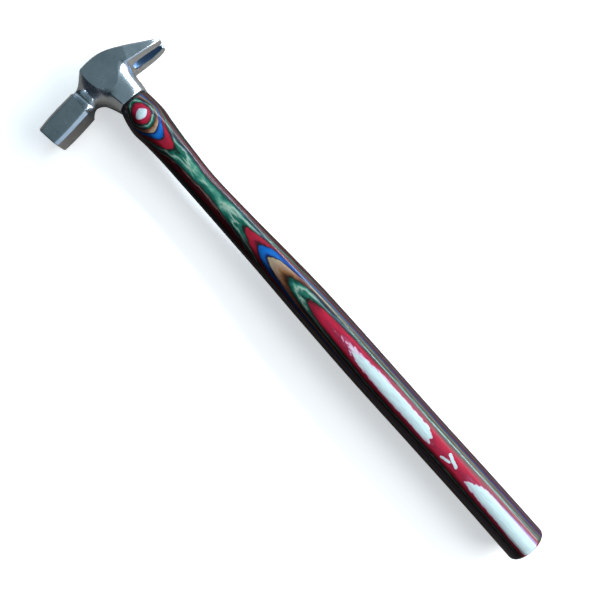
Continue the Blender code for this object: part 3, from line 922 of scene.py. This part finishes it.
def hook_strokes(x, y):
    """How far each point lies within the strokes, 0 outside them."""
    x, y = x + ripple("hook_x", x, y), y + ripple("hook_y", x, y)
    total = np.zeros_like(x)
    for first, last, y_first, y_last, half in HOOK:
        share = np.clip((x - first) / (last - first), 0, 1)
        across = hump(y, y_first + (y_last - y_first) * share, half)
        total += across * plateau((first - 1, first + 1), (last - 1, last + 1), x)
    return total


def crimson_gap(x, y):
    """Raises the glue line under the outer white sheet where the crimson one shows through."""
    y = y - centre_line(x)
    ragged = ripple("ragged", x, y) + ripple("fine_ragged", x, y)
    start = step(*GAP_START, x + ragged + GAP_START_SLANT * y)
    finger = FINGER * hump(y, FINGER_AT, FINGER_REACH)
    end = 1 - step(*GAP_END, x + ragged + finger + GAP_END_SLANT * y)
    return GAP_RISE * start * end - np.minimum(HOOK_DROP * hook_strokes(x, y), HOOK_MOST)


def glue_heights(x, y):
    """Heights of all the glue lines at (x, y), from the top of the stack to the bottom."""
    shared = ripple("stack", x, y) + tilt(x, y)
    surfaces = []
    for k, level in enumerate(LEVELS):
        own = ripple("line", x, y, k) + ripple("fine_line", x, y, k)
        surfaces.append(level + shared + own)
    scallops = ripple("scallops", x, y) * step(*SCALLOPS_FROM, x)
    surfaces[1] = surfaces[1] + scallops + crimson_gap(x, y)
    surfaces[OUTER_RED + 1] += WAIST_RISE * plateau(*WAIST_RISE_OVER, x)
    for above, below in zip(surfaces, surfaces[1:]):
        np.minimum(below, above - LEAST_SHEET, out=below)
    return np.array(surfaces)


def warp(points):
    """Points moved up or down so that every glue line is a level plane."""
    source = glue_heights(points[:, 0], points[:, 1])
    z = points[:, 2]
    slot = np.clip((source[1:-1] > z).sum(axis=0), 0, len(STACK) - 1)
    column = np.arange(len(z))
    top, low = source[slot, column], source[slot + 1, column]
    share = (z - low) / (top - low)
    result = points.copy()
    result[:, 2] = LEVELS[slot + 1] * (1 - share) + LEVELS[slot] * share
    return result


def sliced_skin():
    """The handle's skin in level space, cut through at each glue line.

    Its vertices remember where they lie on the carved handle, and its smooth normal there.
    """
    bm = loft(handle_rings())
    bm.normal_update()
    shading = bm.verts.layers.float_vector.new("shading")
    carved = bm.verts.layers.float_vector.new("carved")
    for vertex in bm.verts:
        vertex[shading] = vertex.normal
        vertex[carved] = vertex.co
    skin = bm.faces.layers.int.new("skin")
    for face in bm.faces:
        face[skin] = 1
    for vertex, point in zip(bm.verts, warp(np.array([vertex.co for vertex in bm.verts], float))):
        vertex.co = point
    for level in LEVELS[1:-1]:
        geometry = bm.verts[:] + bm.edges[:] + bm.faces[:]
        bmesh.ops.bisect_plane(
            bm, geom=geometry, dist=ON_PLANE, plane_co=(0, 0, level), plane_no=(0, 0, 1)
        )
    bmesh.ops.remove_doubles(bm, verts=bm.verts, dist=WELD)
    return bm


def fill_rim(bm, rim, facing, single):
    """A level cap inside a single or a many-part rim, facing up for 1 or down for -1."""
    if single:
        made = bmesh.ops.edgeloop_fill(bm, edges=rim)["faces"]
    else:
        filled = bmesh.ops.triangle_fill(bm, edges=rim, use_beauty=True, normal=(0, 0, 1))
        made = [item for item in filled["geom"] if isinstance(item, bmesh.types.BMFace)]
    for face in made:
        face.normal_update()
        if face.normal.z * facing < 0:
            face.normal_flip()
    bmesh.ops.triangulate(bm, faces=made)


def sheet_mesh(source, faces, levels, single):
    """The closed sheet made of those skin faces and of caps at its glue lines."""
    bm = bmesh.new()
    layers = []
    for name in ("shading", "carved"):
        new_layer = bm.verts.layers.float_vector.new(name)
        layers.append((new_layer, source.verts.layers.float_vector[name]))
    carved = bm.verts.layers.float_vector["carved"]
    skin = bm.faces.layers.int.new("skin")
    copies = {}
    for face in faces:
        for vertex in face.verts:
            if vertex not in copies:
                copies[vertex] = bm.verts.new(vertex.co)
                for layer, source_layer in layers:
                    copies[vertex][layer] = vertex[source_layer]
        made = bm.faces.new([copies[vertex] for vertex in face.verts])
        made[skin] = 1
    for level, facing in zip(levels, (1, -1)):
        rim = [
            edge
            for edge in bm.edges
            if edge.is_boundary and all(abs(v.co.z - level) < 2 * WELD for v in edge.verts)
        ]
        if rim:
            fill_rim(bm, rim, facing, single)
    for vertex in bm.verts:
        vertex.co = vertex[carved]
    return bm


def wedge_body(sizes, gap=0.0, top=None):
    """A wedge on the eye's axis, its thick end at the head's top and its thickness along Z.

    A pocket for it is wider by the gap all round, and runs on with the same taper to top.
    """
    taper = (sizes["tip_thick"] - sizes["thick"]) / (sizes["tip"] - sizes["top"])
    ends = (sizes["top"] if top is None else top, sizes["tip"] + gap)
    bm = bmesh.new()
    bmesh.ops.create_cube(bm, size=1.0)
    for vertex in bm.verts:
        x = ends[0] if vertex.co.x < 0 else ends[1]
        thickness = sizes["thick"] + taper * (x - sizes["top"])
        y = vertex.co.y * (sizes["width"] + 2 * gap)
        vertex.co = (x, EYE_CENTRE + y, vertex.co.z * (thickness + 2 * gap))
    return bm


def steel_wedge(side, **options):
    """A steel wedge set across the wooden one, with its thickness along Y."""
    bm = wedge_body(STEEL_WEDGE, **options)
    for vertex in bm.verts:
        x, y, z = vertex.co
        vertex.co = (x, EYE_CENTRE + side * STEEL_WEDGE_SPREAD - z, y - EYE_CENTRE)
    return bm


END_FACE = 0.93  # a face whose normal runs along X by more than this is an end of the handle
NEAR_NORMAL = 0.5  # how well a smooth normal has to agree with its face's


def shade_sheet(mesh):
    """Gives the skin the smooth handle's normals, and the glued faces their own."""
    shading = np.empty(len(mesh.vertices) * 3, np.float32)
    mesh.attributes["shading"].data.foreach_get("vector", shading)
    shading = shading.reshape(-1, 3)
    skin = np.empty(len(mesh.polygons), np.int32)
    mesh.attributes["skin"].data.foreach_get("value", skin)
    normals = []
    for face in mesh.polygons:
        flat = not skin[face.index] or abs(face.normal.x) > END_FACE
        own = tuple(face.normal)
        for v in face.vertices:
            normal = Vector(shading[v])
            if flat or normal.dot(face.normal) < NEAR_NORMAL:
                normals.append(own)
            else:
                normals.append(tuple(normal.normalized()))
    for name in ("shading", "carved", "skin"):
        mesh.attributes.remove(mesh.attributes[name])
    mesh.shade_smooth()
    mesh.normals_split_custom_set(normals)


def mark_depth(mesh, top, low):
    """Stores how deep in its sheet each vertex lies: 0 on its lower face and 1 on its upper."""
    level = warp(read_points(mesh))[:, 2]
    store(mesh, "depth", np.clip((level - low) / (top - low), 0, 1))


def near_face(k):
    """How far the nearer face of sheet k lies from the middle plane."""
    return max(-LEVELS[k], LEVELS[k + 1])


def make_veneers(cuts):
    """Every sheet of the stack, in two pieces, swell and grip, where the waist parts it."""
    whole = sliced_skin()
    groups = {}
    waist_half = float(half_thickness(WAIST))
    for face in whole.faces:
        centre = face.calc_center_median()
        k = int((LEVELS[1:-1] > centre.z).sum())
        part = ""
        if near_face(k) > waist_half:
            part = "_swell" if centre.x < WAIST else "_grip"
        groups.setdefault((k, part), []).append(face)
    made = []
    for (k, part), faces in sorted(groups.items(), key=lambda item: item[0]):
        colour = STACK[k][0]
        top, low = LEVELS[k], LEVELS[k + 1]
        bm = sheet_mesh(whole, faces, (top, low), single=not part)
        name = f"{k + 1:02d}_{colour}{part}"
        sheet = new_object(f"sheet_{name}", bm)
        if near_face(k) < STEEL_WEDGE["width"] / 2 + WEDGE_GAP:
            for cut in cuts:
                boolean(sheet, cut, "DIFFERENCE")
            apply_modifiers(sheet)
        mark_depth(sheet.data, top, low)
        shade_sheet(sheet.data)
        sheet.data.materials.append(veneer_look(colour, STACK[k][1], k))
        made.append((sheet, f"veneer_{name}", f"veneer_{colour}"))
    whole.free()
    return made


# ------------ wedges and bead


def soften(obj):
    """Rounds all the edges of a steel wedge."""
    bevel = obj.modifiers.new("Bevel", "BEVEL")
    bevel.width = STEEL_EDGE * MM
    bevel.segments = 3
    bevel.limit_method = "ANGLE"
    apply_modifiers(obj)
    shade_smooth(obj.data, STEEL_SHARP)


def make_wedges(pockets):
    """The wooden wedge is dressed with the tenon, and the steel ones are driven across it."""
    wood = new_object("wedge_of_wood", wedge_body(WOOD_WEDGE))
    blank = new_object("tenon_blank", loft(tenon_rings()))
    boolean(wood, blank, "INTERSECT")
    for pocket in pockets:
        boolean(wood, pocket, "DIFFERENCE")
    apply_modifiers(wood)
    shade_smooth(wood.data, WOOD_SHARP)
    wood.data.materials.append(wedge_wood_look())
    remove([blank])
    made = [(wood, "wooden_wedge", "wedge_wood")]
    look = wedge_steel_look()
    for side, end in ((-1, "front"), (1, "rear")):
        steel = new_object(f"wedge_of_steel_{end}", steel_wedge(side))
        soften(steel)
        steel.data.materials.append(look)
        made.append((steel, f"steel_wedge_{end}", "wedge_steel"))
    return made


def make_bead():
    """A ring of adhesive with a rounded section that wavers a little round the joint; its black is
    partly painted shade in the gap between head and handle.
    """
    half = BEAD_THICKNESS / 2
    middle = MOUTH + BEAD_GAP + half
    bm = bmesh.new()
    turns = (np.arange(EYE_SIDES) + 0.5) * 2 * math.pi / EYE_SIDES
    waver = ripple("bead", turns, turns)
    rows = []
    for turn, bend in zip(turns, waver):
        row = []
        for n in range(BEAD_TURN):
            angle = 2 * math.pi * n / BEAD_TURN
            along = math.copysign(abs(math.cos(angle)) ** BEAD_SQUARENESS, math.cos(angle))
            out = (1 + math.sin(angle)) / 2 * (1 + bend)
            sizes = [low + (high - low) * out for low, high in zip(BEAD_INNER, BEAD_OUTER)]
            y = EYE_CENTRE + sizes[0] * math.cos(turn)
            row.append(bm.verts.new((middle + half * along, y, sizes[1] * math.sin(turn))))
        rows.append(row)
    bridge(bm, rows + rows[:1])
    bmesh.ops.recalc_face_normals(bm, faces=bm.faces)
    bead = new_object("bead_of_adhesive", bm)
    bead.data.shade_smooth()
    bead.data.materials.append(adhesive_and_shade_look())
    return bead


# ------------ studio

CAMERA_PLACE = (151.9, -3.2)  # over the hammer, in X and Y
CAMERA_HEIGHT = 395.0  # above the middle plane
CAMERA_RIGHT = (0.6643, 0.7475, 0.0)
CAMERA_UP = (-0.7475, 0.6643, 0.0)
CAMERA_LENS = 44.22
FLOOR_HALF = 1500.0
FLOOR_GAP = 0.02  # keeps the floor clear of the cheek that lies on it
# Name, where it stands and what it looks at, its size and its power and colour
LAMPS = (
    ("window", (140, 900, 210), (150, 0, 0), (1300, 340), 4, (0.82, 0.92, 1.0)),
    ("strip", (140, 900, 500), (150, 0, 0), (1300, 110), 11, (0.72, 0.9, 1.0)),
    ("key", (750, 620, 560), (150, 0, 0), (800, 700), 9.5, (1.0, 0.99, 0.98)),
)

# Colours of the sky from the horizon, at 0, to the zenith
SKY = (
    (0.0, (0.36, 0.44, 0.72)),
    (0.2, (0.38, 0.50, 0.68)),
    (0.45, (0.36, 0.50, 0.62)),
    (0.8, (0.19, 0.265, 0.305)),
    (1.0, (0.165, 0.24, 0.275)),
)
SKY_TOWARDS = (0.45, 0.9, 0.0)  # the bright side of the room
SKY_TURN = (-0.65, 0.1)  # how far towards that side the sky starts to brighten, and is bright
SKY_SIDES = (0.06, 1.0)  # strength of the sky before and after that


def make_camera():
    data = bpy.data.cameras.new("camera")
    data.lens = CAMERA_LENS
    data.clip_end = 20
    camera = add_object("camera", data)
    turn = Matrix((CAMERA_RIGHT, CAMERA_UP, (0, 0, 1))).transposed().to_4x4()
    turn.translation = Vector((*CAMERA_PLACE, MIDDLE + CAMERA_HEIGHT)) * MM
    camera.matrix_world = turn
    bpy.context.scene.camera = camera


def make_floor():
    bm = bmesh.new()
    bmesh.ops.create_grid(bm, x_segments=4, y_segments=4, size=FLOOR_HALF)
    bmesh.ops.translate(bm, verts=bm.verts, vec=(0, 0, -MIDDLE - FLOOR_GAP))
    floor = new_object("floor", bm)
    floor.data.materials.append(floor_look())


def make_lamps():
    for name, place, target, (width, height), power, colour in LAMPS:
        data = bpy.data.lights.new(name, "AREA")
        data.shape = "RECTANGLE"
        data.size, data.size_y = width * MM, height * MM
        data.energy = power
        data.color = colour
        lamp = add_object(name, data)
        lamp.location = Vector(place) * MM
        look = Vector(target) - Vector(place)
        lamp.rotation_euler = look.to_track_quat("-Z", "Y").to_euler()


def make_world():
    """A dim zenith, brighter towards the horizon on one side of the room and dark on the other."""
    world = bpy.data.worlds.new("studio")
    bpy.context.scene.world = world
    world.use_nodes = True
    nodes = Nodes(world.node_tree)
    direction = nodes.node("TexCoord").outputs["Generated"]
    split = nodes.node("SeparateXYZ")
    nodes.put(direction, split.inputs[0])
    lean = nodes.node("VectorMath", operation="DOT_PRODUCT")
    nodes.put(direction, lean.inputs[0])
    nodes.put(SKY_TOWARDS, lean.inputs[1])
    strength = nodes.range(lean.outputs["Value"], *SKY_TURN, *SKY_SIDES)
    background = world.node_tree.nodes["Background"]
    nodes.put(nodes.ramp(split.outputs["Z"], SKY), background.inputs["Color"])
    nodes.put(strength, background.inputs["Strength"])


# ------------ assembly


def main():
    past = WOOD_WEDGE["top"] - WEDGE_GAP
    kerf = new_object("kerf", wedge_body(WOOD_WEDGE, WEDGE_GAP))
    pockets = [
        new_object(f"pocket{side:+d}", steel_wedge(side, gap=WEDGE_GAP, top=past))
        for side in (-1, 1)
    ]
    pieces = [(make_head(), "hammer_head", "forged_steel")]
    pieces += make_wedges(pockets)
    pieces += make_veneers([kerf, *pockets])
    pieces.append((make_bead(), "adhesive_bead", "adhesive"))
    remove([kerf, *pockets])
    for piece, node, slot in pieces:
        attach(piece, "root")
        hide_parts(node)
    make_floor()
    make_lamps()
    make_world()
    make_camera()
    bpy.context.scene.view_settings.view_transform = "Standard"


main()
